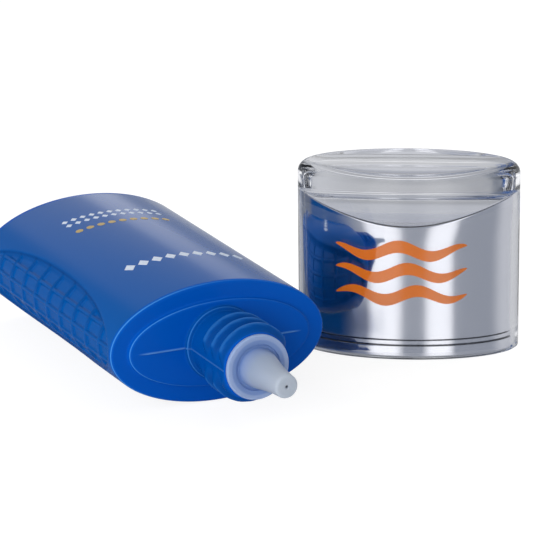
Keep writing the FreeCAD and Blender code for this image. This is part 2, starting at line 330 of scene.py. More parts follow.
def naturalPlug():
    # milky, with painted light: the neck's blue seen through the flange and the skirt, and a paler
    # tip
    material, wire = newMaterial("naturalPlug")
    f = naturalFinish
    cloud = noise(wire, objectPlace(wire), f["cloudScale"])
    share = (mark(wire, "along") - f["tintFrom"]) / (f["tintTo"] - f["tintFrom"])
    stem = wire.node("ShaderNodeValToRGB", {"stops": f["stops"]}, {"Fac": share})
    rim = mark(wire, "reach").step(f["rimFrom"], f["rimTo"])
    closeMaterial(wire, {
        "Base Color": mixColour(rim, stem, f["rim"]),
        "Roughness": uneven(cloud, f["roughness"], f["roughnessSpread"]),
        "Subsurface Weight": f["scatter"],
        "Subsurface Scale": f["scatterReach"],
        "Subsurface Radius": f["scatterColour"],
        "Normal": bump(cloud, f["cloudDepth"]),
    })
    return material


clearFinish = {
    "tint": (0.93, 0.935, 0.965, 1), "index": 1.49, "clarity": 1.0, "roughness": 0.012,
    "scuffScale": 700.0, "scuffDetail": 3.0,
}


def clearPlastic():
    material, wire = newMaterial("clearPlastic")
    scuff = noise(wire, objectPlace(wire), clearFinish["scuffScale"], clearFinish["scuffDetail"])
    closeMaterial(wire, {
        "Base Color": clearFinish["tint"],
        "Transmission Weight": clearFinish["clarity"],
        "IOR": clearFinish["index"],
        "Roughness": scuff * clearFinish["roughness"],
    })
    return material


silverFinish = {
    "bright": (0.93, 0.935, 0.95, 1), "dull": (0.88, 0.89, 0.915, 1),
    "paintedShadeLine": (0.05, 0.055, 0.07, 1), "cloudScale": 160.0, "cloudDetail": 4.0,
    "waveScale": 55.0, "waveDetail": 1.0, "waveDepth": 0.00003,
    "metallic": 1.0, "roughness": 0.06, "roughnessSpread": 0.05,
}


def silverCoat():
    # a bright coat, with painted shade: dark lines in the groove and along the rounded top edge
    material, wire = newMaterial("silverCoat")
    f = silverFinish
    place = objectPlace(wire)
    cloud = noise(wire, place, f["cloudScale"], f["cloudDetail"])
    wave = noise(wire, place, f["waveScale"], f["waveDetail"])
    coat = mixColour(cloud, f["dull"], f["bright"])
    closeMaterial(wire, {
        "Base Color": mixColour(mark(wire, "paintedShadeLine"), coat, f["paintedShadeLine"]),
        "Metallic": f["metallic"],
        "Roughness": uneven(cloud, f["roughness"], f["roughnessSpread"]),
        "Normal": bump(wave, f["waveDepth"]),
    })
    return material


insertFinish = {
    "white": (0.80, 0.81, 0.82, 1), "cream": (0.75, 0.76, 0.76, 1), "cloudScale": 120.0,
    "grainScale": 1400.0, "grainDepth": 0.00001, "roughness": 0.42, "roughnessSpread": 0.1,
}


def whitePlastic():
    material, wire = newMaterial("whitePlastic")
    f = insertFinish
    place = objectPlace(wire)
    cloud = noise(wire, place, f["cloudScale"])
    grain = noise(wire, place, f["grainScale"])
    closeMaterial(wire, {
        "Base Color": mixColour(cloud, f["cream"], f["white"]),
        "Roughness": uneven(grain, f["roughness"], f["roughnessSpread"]),
        "Normal": bump(grain, f["grainDepth"]),
    })
    return material


inkFinishes = {
    "whiteInk": {"colour": (0.66, 0.73, 0.84, 1), "thin": (0.50, 0.60, 0.78, 1),
                 "metallic": 0.0, "roughness": 0.42},
    "goldInk": {"colour": (0.72, 0.53, 0.22, 1), "thin": (0.55, 0.42, 0.22, 1),
                "metallic": 0.55, "roughness": 0.38},
    "orangeInk": {"colour": (0.84, 0.20, 0.006, 1), "thin": (0.78, 0.18, 0.006, 1),
                  "metallic": 0.0, "roughness": 0.45},
}
inkCover = {
    "scale": 1600.0, "detail": 3.0, "thin": 0.2, "full": 0.55, "depth": 0.000006, "gloss": 0.2,
    "roughnessSpread": 0.12, "sharpAngle": 30,
}


def ink(name):
    # printed ink, a little thinner in places
    finish = inkFinishes[name]
    material, wire = newMaterial(name)
    cover = noise(wire, objectPlace(wire), inkCover["scale"], inkCover["detail"])
    full = cover.step(inkCover["thin"], inkCover["full"])
    closeMaterial(wire, {
        "Base Color": mixColour(full, finish["thin"], finish["colour"]),
        "Specular IOR Level": inkCover["gloss"],
        "Metallic": finish["metallic"],
        "Roughness": uneven(cover, finish["roughness"], inkCover["roughnessSpread"]),
        "Normal": bump(cover, inkCover["depth"]),
    })
    return material


# bottle body: a tapering oval with a raised plateau and a neck, hollow to the floor
# edges and feet are given as pairs: how far in or out, and how far up or down
bottleBody = {
    "halfWidth": 22.5, "halfDepth": 12.0, "flareWidth": 1.05, "flareDepth": 0.45, "length": 70.5,
    "wall": 1.4, "sharpAngle": 50, "baseRound": 1.2,
    "shoulderRound": 0.6, "shoulderRows": (0.8, 1.6, 2.4),
    "dishBorder": 5.0, "dishDepth": 0.7, "dishRows": (0.35, 0.7, 0.95),
    "dishEdge": ((0.22, 0.7), (0.06, 0.64), (0.0, 0.48), (0.0, 0.22),
                 (-0.06, 0.06), (-0.22, 0.0), (-0.9, 0.0)),
    "plateauWidth": 19.0, "plateauDepth": 8.5, "plateauHeight": 1.0, "plateauRound": 0.5,
    "plateauFoot": ((-0.45, 0.0), (-0.2, 0.04), (-0.05, 0.16)),
    "plateauRows": (0.04, 0.12, 0.3, 0.5, 0.7, 0.86, 0.95, 1.0),
    "collarRadius": 7.4, "collarTop": 1.9, "collarRound": 0.5, "collarGap": 0.3,
    "collarFoot": ((0.12, 0.05), (0.03, 0.14), (0.0, 0.28)),
    "neckRadius": 6.6, "neckTop": 17.0, "neckFoot": (0.1, 0.03), "neckStart": 0.15, "neckRow": 0.24,
    "rimRound": 0.3, "mouthEdge": ((0.2, 0.0), (0.06, 0.06), (0.0, 0.2)),
    "bore": 5.4, "boreRows": (9.0, 1.0), "boreRound": 0.4,
    "cavityRound": ((1.2, 0.0), (0.35, 0.3), (0.0, 1.2)), "cavityRows": (-15, -30, -45, -60),
    "floorHeight": -69.0, "floorOval": (8.0, 4.0),
    "fineColumns": 43, "coarseColumn": 3.0,
    "crossRibs": 5, "ribRows": (0.2, 0.34, 0.5, 0.66, 0.85), "cellRows": 16, "rowMargin": 0.1,
}
bottleRelief = {
    "panelLength": 67.0, "panelHeight": 15.0, "panelSquareness": 2.3, "panelMiddle": -35.0,
    "reachLeast": 0.0001, "slopeLeast": 0.00001,
    "panelDepth": 0.6, "lipWidth": 0.55, "cellDepth": 0.42, "cellInset": 0.4,
    "ribHalf": 0.3, "ribFlank": 0.32,
    "rowAngle": 16.1, "rowShift": -3.05, "crossPitch": 6.62, "crossShift": 0.6,
    "cellShade": 0.45, "ribShade": 0.45, "ribLow": -1.0, "ribHigh": 5.0,
    "threadPitch": 3.6, "threadHeight": 1.4, "threadPhase": -1.472222,
    "threadFoot": 5.2, "threadTop": 16.9, "threadFade": 1.0, "threadShade": 0.35, "footHalf": 1.35,
    "crestHalf": 0.3, "crestFrom": 0.85, "crestHighlight": 0.24,
    "seamGap": 0.5, "seamFade": 3.0, "seamHeight": 0.24, "seamHalf": 0.24, "neckFlash": 0.6,
    "highlightLeft": -18.0, "highlightRight": 4.0, "highlightFade": 0.75,
}


def bottleAngles():
    # columns a degree apart on the narrow sides, wider on the faces
    fine = list(range(-bottleBody["fineColumns"], bottleBody["fineColumns"] + 1))
    coarseCount = round((180 - 2 * bottleBody["fineColumns"]) / bottleBody["coarseColumn"])
    gap = (180 - 2 * bottleBody["fineColumns"]) / coarseCount
    half = fine + [bottleBody["fineColumns"] + gap * number for number in range(1, coarseCount)]
    return [math.radians(angle + side) for side in (0, 180) for angle in half]


def wallHeights():
    # rows close at the edges of the cross ribs, wider between them
    b = bottleBody
    middle = bottleRelief["panelMiddle"] + bottleRelief["crossShift"]
    pitch = bottleRelief["crossPitch"]
    outer = b["ribRows"][-1]
    heights = []
    for rib in range(-b["crossRibs"], b["crossRibs"] + 1):
        centre = middle + rib * pitch
        heights += [centre + side * edge for edge in b["ribRows"] for side in (-1, 1)]
        heights += [centre + outer + (pitch - 2 * outer) * part / b["cellRows"]
                    for part in range(1, b["cellRows"])]
    top, bottom = -b["shoulderRound"], b["baseRound"] - b["length"]
    lowest, highest = bottom + b["rowMargin"], top - b["rowMargin"]
    return [bottom] + sorted(height for height in heights if lowest < height < highest) + [top]


def bodyOval(height):
    share = -height / bottleBody["length"]
    return (bottleBody["halfWidth"] + share * bottleBody["flareWidth"],
            bottleBody["halfDepth"] + share * bottleBody["flareDepth"])


def bottleRings():
    # from the middle of the base up the outside, over the mouth and down the inside
    b = bottleBody
    base, inside, floor = -b["length"], b["wall"], b["floorHeight"]
    baseWidth, baseDepth = bodyOval(base)
    dishWidth, dishDepth = baseWidth - b["dishBorder"], baseDepth - b["dishBorder"]
    dishFloor = base + b["dishDepth"]
    rings = [(0, 0, 0, dishFloor)]
    rings += [(dishWidth * share, dishDepth * share, 0, dishFloor) for share in b["dishRows"]]
    rings += [(dishWidth, dishDepth, inset, base + rise) for inset, rise in b["dishEdge"]]
    rings += [(baseWidth, baseDepth, b["baseRound"] - across, base + b["baseRound"] - down)
              for down, across in arc(b["baseRound"], count=7)][:-1]
    wallStart = len(rings)
    rings += [(*bodyOval(height), 0, height) for height in wallHeights()]
    wallEnd = len(rings)
    rings += [(b["halfWidth"], b["halfDepth"], b["shoulderRound"] - across, up - b["shoulderRound"])
              for across, up in arc(b["shoulderRound"], count=5)][1:]
    rings += [(b["halfWidth"], b["halfDepth"], inset, 0) for inset in b["shoulderRows"]]
    width, depth = b["plateauWidth"], b["plateauDepth"]
    rings += [(width, depth, inset, rise) for inset, rise in b["plateauFoot"]]
    rimStart = len(rings)
    bend = b["plateauRound"]
    rings += [(width, depth, bend - across, b["plateauHeight"] - bend + up)
              for across, up in arc(bend, count=5)]
    topStart = len(rings)
    innerWidth, innerDepth = width - bend, depth - bend
    foot = b["collarRadius"] + b["collarGap"]
    rings += [(innerWidth + (foot - innerWidth) * share, innerDepth + (foot - innerDepth) * share,
               0, b["plateauHeight"]) for share in b["plateauRows"]]
    topEnd = len(rings)
    rings += [turned(b["collarRadius"] + out, b["plateauHeight"] + rise)
              for out, rise in b["collarFoot"]]
    collarStart = len(rings)
    bend = b["collarRound"]
    rings += [turned(b["collarRadius"] - bend + across, b["collarTop"] - bend + up)
              for across, up in arc(bend, count=5)]
    rings.append(turned(b["neckRadius"] + b["neckFoot"][0], b["collarTop"] + b["neckFoot"][1]))
    first, last = b["collarTop"] + b["neckStart"], b["neckTop"] - b["rimRound"]
    count = round((last - first) / b["neckRow"])
    rings += [turned(b["neckRadius"], first + (last - first) * row / count)
              for row in range(count + 1)]
    neckEnd = len(rings)
    rings += [turned(b["neckRadius"] - b["rimRound"] + across, last + up)
              for across, up in arc(b["rimRound"], count=4)][1:]
    rings += [turned(b["bore"] + out, b["neckTop"] - down) for out, down in b["mouthEdge"]]
    rings += [turned(b["bore"], height) for height in (*b["boreRows"], b["boreRound"] - inside)]
    rings.append(turned(b["bore"] + b["boreRound"], -inside))
    rings += [(b["halfWidth"] - inside, b["halfDepth"] - inside, inset, -inside - down)
              for inset, down in b["cavityRound"]]
    for height in (*b["cavityRows"], floor + b["cavityRound"][-1][1]):
        width, depth = bodyOval(height)
        rings.append((width - inside, depth - inside, 0, height))
    width, depth = bodyOval(floor)
    rings += [(width - inside, depth - inside, inset, floor + up)
              for inset, up in b["cavityRound"][1::-1]]
    rings += [(*b["floorOval"], 0, floor), (0, 0, 0, floor)]
    # the middle row of each round gets a painted highlight
    highlightRows = {wallEnd + 1, rimStart + 2, collarStart + 2}  # the middle of each round
    return rings, (wallStart, wallEnd), (topStart, topEnd), (topEnd, neckEnd), highlightRows


def bottleBase():
    angles = bottleAngles()
    rings, wall, top, neck, highlightRows = bottleRings()
    mesh, rows, normals = ringMesh("bottleBody", rings, angles)
    count = len(mesh.vertices)
    fields = {name: [0.0] * count for name in (
        "along", "aside", "sideTurn", "stretch", "round", "wall", "neck", "seam", "edge")}
    outward = [(0.0, 0.0, 0.0)] * count
    for number, row in enumerate(rows):
        width, depth = rings[number][:2]
        for column, point in enumerate(row):
            angle = angles[column]
            sine, cosine = math.sin(angle), math.cos(angle)
            fields["along"][point] = mesh.vertices[point].co.z
            fields["aside"][point] = mesh.vertices[point].co.y
            fields["sideTurn"][point] = math.degrees(math.atan2(sine, abs(cosine)))
            fields["stretch"][point] = math.radians(math.hypot(width * sine, depth * cosine))
            fields["round"][point] = math.degrees(angle) % 360
            # the wall and neck rows take painted shade in the finish, and the middle row of each
            # round a painted highlight
            fields["wall"][point] = float(wall[0] < number < wall[1] - 1)
            fields["neck"][point] = float(neck[0] <= number < neck[1])
            fields["edge"][point] = float(number in highlightRows)
            fields["seam"][point] = float(top[0] + 1 < number < neck[1])
            flat = top[0] <= number < top[1]
            outward[point] = (0.0, 0.0, 1.0) if flat else (*normals[point], 0.0)
    for name, values in fields.items():
        store(mesh, name, values)
    store(mesh, "outward", outward, "FLOAT_VECTOR")
    return newObject("bottleBody", mesh)


def flank(rise):
    # one half way up a rise, nothing at its foot and top
    return rise * (1 - rise) * 4


def reliefTree(material):
    tree, given = sizeTree("mouldedRelief", bottleRelief)
    g = given.out
    along, aside = attribute(given, "along"), attribute(given, "aside")
    wall, neck = attribute(given, "wall"), attribute(given, "neck")
    # how far a point lies inside the panels' oval outline
    # the least values keep the quotient finite
    lengthways = along - g("panelMiddle")
    halfLength, halfHeight = g("panelLength") / 2, g("panelHeight") / 2
    lengthShare, heightShare = abs(lengthways / halfLength), abs(aside / halfHeight)
    power = g("panelSquareness")
    reach = (lengthShare ** power + heightShare ** power) ** (1 / power) + g("reachLeast")
    lengthSlope = lengthShare ** (power - 1) / halfLength
    heightSlope = heightShare ** (power - 1) / halfHeight
    slope = (lengthSlope * lengthSlope + heightSlope * heightSlope) ** 0.5 + g("slopeLeast")
    inside = (1 - reach) * reach ** (power - 1) / slope
    # distance to the nearest cross rib and lengthwise rib
    steps = (lengthways - g("crossShift")) / g("crossPitch") + 0.5
    crossGap = abs(steps.math("FRACT", steps) - 0.5) * g("crossPitch")
    sideTurns = (attribute(given, "sideTurn") - g("rowShift")) / g("rowAngle")
    rowTurn = abs(sideTurns.math("FRACT", sideTurns) - 0.5) * g("rowAngle")
    rowGap = rowTurn * attribute(given, "stretch")
    flankEnd = g("ribHalf") + g("ribFlank")
    offRib = crossGap.step(g("ribHalf"), flankEnd)
    offBorder = inside.step(g("cellInset"), g("cellInset") + g("lipWidth"))
    cell = offRib * rowGap.step(g("ribHalf"), flankEnd) * offBorder
    lip = inside.step(0.0, g("lipWidth"))
    panel = (lip * g("panelDepth") + cell * g("cellDepth")) * wall
    # one turning crest, run out at both ends and at the mould's parting
    turns = along / g("threadPitch") - attribute(given, "round") / 360 + g("threadPhase")
    offCrest = (turns.math("FRACT", turns) - 0.5) * g("threadPitch")
    crestAlong = along - offCrest
    begun = crestAlong.step(g("threadFoot"), g("threadFoot") + g("threadFade"))
    ended = crestAlong.step(g("threadTop") - g("threadFade"), g("threadTop"))
    crest = 1 - abs(offCrest).step(g("crestHalf"), g("footHalf"))
    parted = abs(aside).step(g("seamGap"), g("seamGap") + g("seamFade"))
    thread = crest * begun * (1 - ended) * parted * neck
    ridge = (1 - abs(aside).step(0.0, g("seamHalf"))) * attribute(given, "seam")
    shift = given.node("ShaderNodeVectorMath", {"operation": "SCALE"}, {
        "Vector": attribute(given, "outward", "FLOAT_VECTOR"),
        "Scale": thread * g("threadHeight") + ridge * g("seamHeight") - panel})
    # painted light for the finish: the mould flash, paler of its own and with a painted highlight
    # on it; painted shade in the recesses, on the ribs and on the thread flanks; painted highlights
    # on the edges
    ribs = lip * (1 - offRib) * aside.step(g("ribLow"), g("ribHigh")) * g("ribShade")
    # the painted highlight fades from the left towards the right, away from the light
    across = position(given)[0]
    faded = across.step(g("highlightLeft"), g("highlightRight")) * g("highlightFade")
    edge = attribute(given, "edge") * (1 - faded)
    panelPaintedShade = (flank(lip) + flank(cell) * g("cellShade") + ribs) * wall
    tints = {
        "flashAndHighlight": ridge * (1 - neck * g("neckFlash")),
        "paintedShade": panelPaintedShade + flank(thread) * g("threadShade"),
        "edge": edge + thread.step(g("crestFrom"), 1.0) * g("crestHighlight"),
    }
    marked = given
    for name, value in tints.items():
        marked = storeField(marked, name, value)
    moved = given.node("GeometryNodeSetPosition", {}, {"Geometry": marked, "Offset": shift})
    closeTree(moved, material)
    return tree


blue = blueMoulding()
bottle = bottleBase()
runTree(bottle, reliefTree(blue), bottleRelief)
settle(bottle, bottleSpot, "bottle", "bottle_blue", blue, bottleBody["sharpAngle"], "bottle_body")


# nozzle plug: a turned piece pressed into the neck
nozzlePlug = {
    "skirt": (4.35, 5.35, 9.0), "skirtEdge": (0.15, 0.2), "seatGap": 0.02,
    "flange": (6.35, 17.0, 17.9), "flangeEdge": 0.1, "flangeRound": 0.3,
    "groove": (3.8, 4.5, 17.5), "grooveEdge": ((0.18, 0.0), (0.05, 0.05), (0.0, 0.18)),
    "grooveFoot": ((-0.08, 0.06), (-0.25, 0.0)),
    "stemFoot": ((0.2, 0.0), (0.06, 0.1), (-0.02, 0.35)),
    "stem": ((3.7, 19.0), (3.5, 20.3), (3.2, 21.8), (2.95, 23.2),
             (2.75, 24.6), (2.52, 26.5), (2.38, 28.3)),
    "tip": (2.3, 30.2), "tipRound": 0.6, "orifice": (0.3, 29.2), "orificeEdge": 0.15,
    "inner": (1.2, 2.7), "innerStep": (0.1, 0.2), "columns": 96, "sharpAngle": 40,
}


def plugProfile():
    # (radius, height) from the skirt's end up the outside and back through the orifice
    p = nozzlePlug
    skirtInner, skirtOuter, skirtEnd = p["skirt"]
    flange, seat, face = p["flange"]
    root, grooveOuter, grooveFloor = p["groove"]
    tip, tipTop = p["tip"]
    orifice, orificeEnd = p["orifice"]
    profile = [(skirtInner, skirtEnd), (skirtOuter - p["skirtEdge"][0], skirtEnd),
               (skirtOuter, skirtEnd + p["skirtEdge"][1]), (skirtOuter, seat - p["seatGap"]),
               (flange - p["flangeEdge"], seat), (flange, seat + p["flangeEdge"])]
    profile += [(flange - p["flangeRound"] + across, face - p["flangeRound"] + up)
                for across, up in arc(p["flangeRound"], count=5)]
    profile += [(grooveOuter + out, face - down) for out, down in p["grooveEdge"]]
    profile += [(grooveOuter + out, grooveFloor + up) for out, up in p["grooveFoot"]]
    profile += [(root + out, grooveFloor + up) for out, up in p["stemFoot"]]
    profile += p["stem"]
    profile += [(tip - p["tipRound"] + across, tipTop - p["tipRound"] + up)
                for across, up in arc(p["tipRound"], count=6)]
    profile += [(orifice + p["orificeEdge"], tipTop), (orifice, tipTop - p["orificeEdge"]),
                (orifice, orificeEnd), (p["inner"][0], orificeEnd - p["innerStep"][0]),
                (p["inner"][1], seat), (skirtInner, seat - p["innerStep"][1])]
    return profile


natural = naturalPlug()
plugRings = [turned(radius, height) for radius, height in plugProfile()]
plugMesh = ringMesh("nozzlePlug", plugRings, evenAngles(nozzlePlug["columns"]), loop=True)[0]
store(plugMesh, "along", [vertex.co.z for vertex in plugMesh.vertices])
store(plugMesh, "reach", [math.hypot(vertex.co.x, vertex.co.y) for vertex in plugMesh.vertices])
plug = newObject("nozzlePlug", plugMesh)
settle(plug, bottleSpot, "bottle", "nozzle_natural", natural,
       nozzlePlug["sharpAngle"], "nozzle_plug")


# cap: a clear shell over a silver sleeve
# the shell's hollow and the sleeve are roofed by a barrel along the wide axis
capForms = {
    "outer": (22.5, 12.0), "height": 38.55, "topRound": 2.45, "rimRound": 0.35,
    "columns": 208, "sharpAngle": 45,
    "outerRows": (6, 12, 18, 24, 30), "topRows": (0.8, 0.5, 0.2), "vaultAxis": 19.9,
    "cavity": (20.8, 10.3), "cavityVault": 12.7, "cavityMouth": 0.3, "cavityRows": (24, 18, 12, 6),
    "cavityEdge": ((0.25, 0.0), (0.07, 0.06), (0.0, 0.25)),
    "cavityRoof": (0.06, 0.15, 0.3, 0.45, 0.6, 0.75, 0.88, 0.96),
    "sleeve": (20.7, 10.2), "sleeveVault": 12.6, "sleeveWall": 0.7, "sleeveEdge": 0.3,
    "sleeveRows": (6, 9, 12, 15, 18, 21, 24),
    "sleeveRoof": (0.96, 0.92, 0.84, 0.74, 0.62, 0.5, 0.38, 0.26, 0.14, 0.06),
    "innerRows": (22, 15, 8, 2), "innerRoof": (0.08, 0.2, 0.36, 0.52, 0.68, 0.82, 0.93),
    "sleeveFoot": 0.4, "footBevel": 0.15, "footRow": 1.4,
    "footEdge": ((0.2, 0.0), (0.06, 0.06), (0.0, 0.2)),
    "groove": (2.6, 3.9), "grooveDepth": 0.25, "grooveRound": 0.12,
    "grooveBend": 0.3, "grooveMargin": 0.1,
    "grooveSide": ((0.7, 0.05), (1.0, 0.22), (1.0, 0.35)),
    # rows of the groove and of the rounded top edge that get painted dark lines of shade
    "grooveShadeRows": (0, 1, 2, 5, 6, 7), "edgeShadeRows": (3, 4),
}


def vault(radius, drop=0.0):
    return lambda x, y: capForms["vaultAxis"] + math.sqrt(radius ** 2 - y ** 2) - drop


def roofRings(halves, radius, shares):
    return [(halves[0] * share, halves[1] * share, 0, vault(radius)) for share in shares]


def wallRings(halves, heights):
    return [(*halves, 0, height) for height in heights]


def shellRings():
    # from the middle of the cavity's roof down the inside, then up the outside to the top
    c = capForms
    rings = [(0, 0, 0, vault(c["cavityVault"])(0, 0))]
    rings += roofRings(c["cavity"], c["cavityVault"], c["cavityRoof"])
    rings += [(*c["cavity"], inset, vault(c["cavityVault"], drop))
              for inset, drop in c["cavityEdge"]]
    rings += wallRings(c["cavity"], (*c["cavityRows"], c["cavityMouth"]))
    rings += [(*c["cavity"], -c["cavityMouth"], 0.0)]
    rings += [(*c["outer"], c["rimRound"] - across, c["rimRound"] - down)
              for down, across in arc(c["rimRound"], count=4)]
    rings += wallRings(c["outer"], c["outerRows"])
    spring = c["height"] - c["topRound"]
    rings += [(*c["outer"], c["topRound"] - across, spring + up)
              for across, up in arc(c["topRound"], count=14)]
    flat = [half - c["topRound"] for half in c["outer"]]
    rings += [(flat[0] * share, flat[1] * share, 0, c["height"]) for share in c["topRows"]]
    return rings + [(0, 0, 0, c["height"])]


def sleeveRings():
    # the same way round as the shell, and the rows that get painted dark lines of shade
    c = capForms
    inner = [half - c["sleeveWall"] for half in c["sleeve"]]
    innerVault = c["sleeveVault"] - c["sleeveWall"]
    rings = [(0, 0, 0, vault(innerVault)(0, 0))] + roofRings(inner, innerVault, c["innerRoof"])
    rings += [(*inner, 0, vault(innerVault))] + wallRings(inner, c["innerRows"])
    foot = c["sleeveFoot"]
    rings += [(*inner, 0, foot + c["footBevel"]), (*inner, -c["footBevel"], foot)]
    rings += [(*c["sleeve"], inset, foot + rise) for inset, rise in c["footEdge"]]
    low, high = c["groove"]
    bend = c["grooveRound"]
    rings += wallRings(c["sleeve"], (c["footRow"], low - bend - c["grooveMargin"], low - bend))
    grooveStart = len(rings)
    side = [(bend * c["grooveBend"], -bend * c["grooveBend"])]
    side += [(c["grooveDepth"] * share, away) for share, away in c["grooveSide"]]
    rings += [(*c["sleeve"], inset, low + away) for inset, away in side]
    rings += [(*c["sleeve"], inset, high - away) for inset, away in reversed(side)]
    rings += wallRings(c["sleeve"], (high + bend, high + bend + c["grooveMargin"]))
    rings += wallRings(c["sleeve"], c["sleeveRows"])
    edgeStart = len(rings)
    edge, roof = c["sleeveEdge"], c["sleeveVault"]
    rings += [(*c["sleeve"], edge - across, vault(roof, edge - up))
              for across, up in arc(edge, count=5)]
    rings += roofRings(c["sleeve"], roof, c["sleeveRoof"])
    shadeRows = {grooveStart + row for row in c["grooveShadeRows"]}
    shadeRows |= {edgeStart + row for row in c["edgeShadeRows"]}
    return rings + [(0, 0, 0, vault(roof)(0, 0))], shadeRows


capAngles = evenAngles(capForms["columns"])
clear = clearPlastic()
shell = newObject("capOuterShell", ringMesh("capOuterShell", shellRings(), capAngles)[0])
settle(shell, capSpot, "cap", "cap_clear", clear, capForms["sharpAngle"], "cap_outer_shell")
shell.visible_shadow = False  # light reaches what lies under the clear wall
silver = silverCoat()
sleeveOutline, shadeRows = sleeveRings()
sleeveMesh, sleeveRows = ringMesh("capSilverSleeve", sleeveOutline, capAngles)[:2]
# painted shade: dark lines on those rows
store(sleeveMesh, "paintedShadeLine", [float(number in shadeRows)
                           for number, row in enumerate(sleeveRows) for point in row])
sleeve = newObject("capSilverSleeve", sleeveMesh)
settle(sleeve, capSpot, "cap", "sleeve_silver", silver, capForms["sharpAngle"], "cap_silver_sleeve")

insert = frame["nodes"]["cap_thread_insert"]
for place in insert.material_slots:
    place.material = whitePlastic()
print("cap formed")


# printed rows on the front face: plain lozenges and dots, wrapped on the body's oval
bodySizes = {name: bottleBody[name] for name in (
    "halfWidth", "halfDepth", "flareWidth", "flareDepth", "length")}
whiteRow = {
    "columns": 9, "rows": 1, "pitch": 2.9, "rowPitch": 1.0,
    "sides": 4, "markWidth": 2.3, "markLength": 3.3, "thickness": 0.1,
    "middleAcross": 1.5, "middleAlong": -19.5, **bodySizes,
}
goldRow = dict(whiteRow, pitch=2.4, sides=20, markWidth=1.6, markLength=1.6,
               middleAcross=0.0, middleAlong=-47.4)
smallRows = dict(whiteRow, columns=11, rows=2, pitch=2.0, rowPitch=2.5,
                 markWidth=1.4, markLength=1.7, middleAcross=0.0, middleAlong=-53.4)


def markTree(name, sizes, material):
    tree, given = sizeTree(name, sizes)
    g = given.out
    grid = given.node("GeometryNodeMeshGrid", {}, {
        "Size X": (g("columns") - 1) * g("pitch"), "Size Y": (g("rows") - 1) * g("rowPitch"),
        "Vertices X": g("columns"), "Vertices Y": g("rows")})
    lozenge = given.node("GeometryNodeMeshCylinder", {}, {
        "Vertices": g("sides"), "Side Segments": 1, "Radius": 0.5, "Depth": g("thickness")}, "Mesh")
    spread = given.node("GeometryNodeInstanceOnPoints", {}, {
        "Points": grid, "Instance": lozenge,
        "Scale": vector(given, g("markWidth"), g("markLength"), 1.0)})
    whole = given.node("GeometryNodeRealizeInstances", {}, {"Geometry": spread})
    x, y, z = position(given)
    along, across = g("middleAlong") - y, g("middleAcross") + x
    share = (0 - along) / g("length")
    wide = across / (g("halfWidth") + share * g("flareWidth"))
    front = (1 - wide * wide) ** 0.5 * (g("halfDepth") + share * g("flareDepth"))
    moved = given.node("GeometryNodeSetPosition", {}, {
        "Geometry": whole, "Position": vector(given, across, front + z, along)})
    closeTree(moved, material)
    return tree


whiteInk, goldInk, orangeInk = (ink(name) for name in inkFinishes)
for name, sizes, material in (("whiteMarks", whiteRow, whiteInk), ("goldMarks", goldRow, goldInk),
                              ("smallMarks", smallRows, whiteInk)):
    marks = newObject(name, bpy.data.meshes.new(name))
    runTree(marks, markTree(name, sizes, material), sizes)
    settle(marks, bottleSpot, "bottle", "insert_white" if material is whiteInk else "sleeve_silver",
           material, inkCover["sharpAngle"])


# orange waves printed on the front of the sleeve
capWaves = {
    "waves": 3, "segments": 96, "length": 26.0, "band": 1.25, "tipBand": 0.03, "taper": 0.6,
    "rowPitch": 4.6, "lowest": 13.2, "swing": 1.0, "swell": 13.0, "rowShift": 0.9, "middle": -1.0,
    "thickness": 0.04, "lift": 0.03,
    "halfWidth": capForms["sleeve"][0], "halfDepth": capForms["sleeve"][1],
}


def waveTree(material):
    tree, given = sizeTree("capWaves", capWaves)
    g = given.out
    bar = given.node("GeometryNodeMeshCylinder", {}, {
        "Vertices": 4, "Side Segments": g("segments"), "Radius": 1.0, "Depth": g("length")}, "Mesh")
    line = given.node("GeometryNodeMeshLine", {}, {"Count": g("waves"), "Offset": (0.0, 0.0, 0.0)})
    bars = given.node("GeometryNodeInstanceOnPoints", {}, {"Points": line, "Instance": bar})
    numbered = storeField(bars, "wave", given.node("GeometryNodeInputIndex"), "INSTANCE")
    whole = given.node("GeometryNodeRealizeInstances", {}, {"Geometry": numbered})
    x, y, z = position(given)
    wave = attribute(given, "wave")
    end = z / g("length") * 2
    swell = z / g("swell") * (2 * math.pi) + wave * g("rowShift")
    fullness = end.math("MAXIMUM", 1 - end * end, 0.0)
    band = g("band") * fullness ** g("taper") + g("tipBand")
    crest = g("lowest") + wave * g("rowPitch") + g("swing") * swell.math("SINE", swell)
    height = crest + (x + y) * band
    across = g("middle") + z
    wide = across / g("halfWidth")
    front = (1 - wide * wide) ** 0.5 * g("halfDepth") + g("lift")
    outwards = (x - y) * g("thickness") / 2 - front
    moved = given.node("GeometryNodeSetPosition", {}, {
        "Geometry": whole, "Position": vector(given, across, outwards, height)})
    closeTree(moved, material)
    return tree


waves = newObject("capWaves", bpy.data.meshes.new("capWaves"))
runTree(waves, waveTree(orangeInk), capWaves)
settle(waves, capSpot, "cap", "sleeve_silver", orangeInk, inkCover["sharpAngle"])
print("prints made")


# studio: a white backdrop for the camera, a glossy white floor,
# and a grey room with soft screens for the reflections
studio = {
    "plain": (0.5, 0.5, 0.5, 1), "white": (1, 1, 1, 1), "room": (0.32, 0.34, 0.38, 1),
    "ceiling": (0.50, 0.515, 0.55, 1), "ceilingFoot": (0.5, 0.8), "levelLeast": 0.0001,
    "bounces": 24, "lampAim": (0, 0, 0.015),
    "floorHalf": 3.0, "floorColour": (0.9, 0.9, 0.9, 1), "floorKeep": 0.25, "floorGlow": 1.16,
    "floorBlur": 0.3, "floorPolish": 0.55,
}
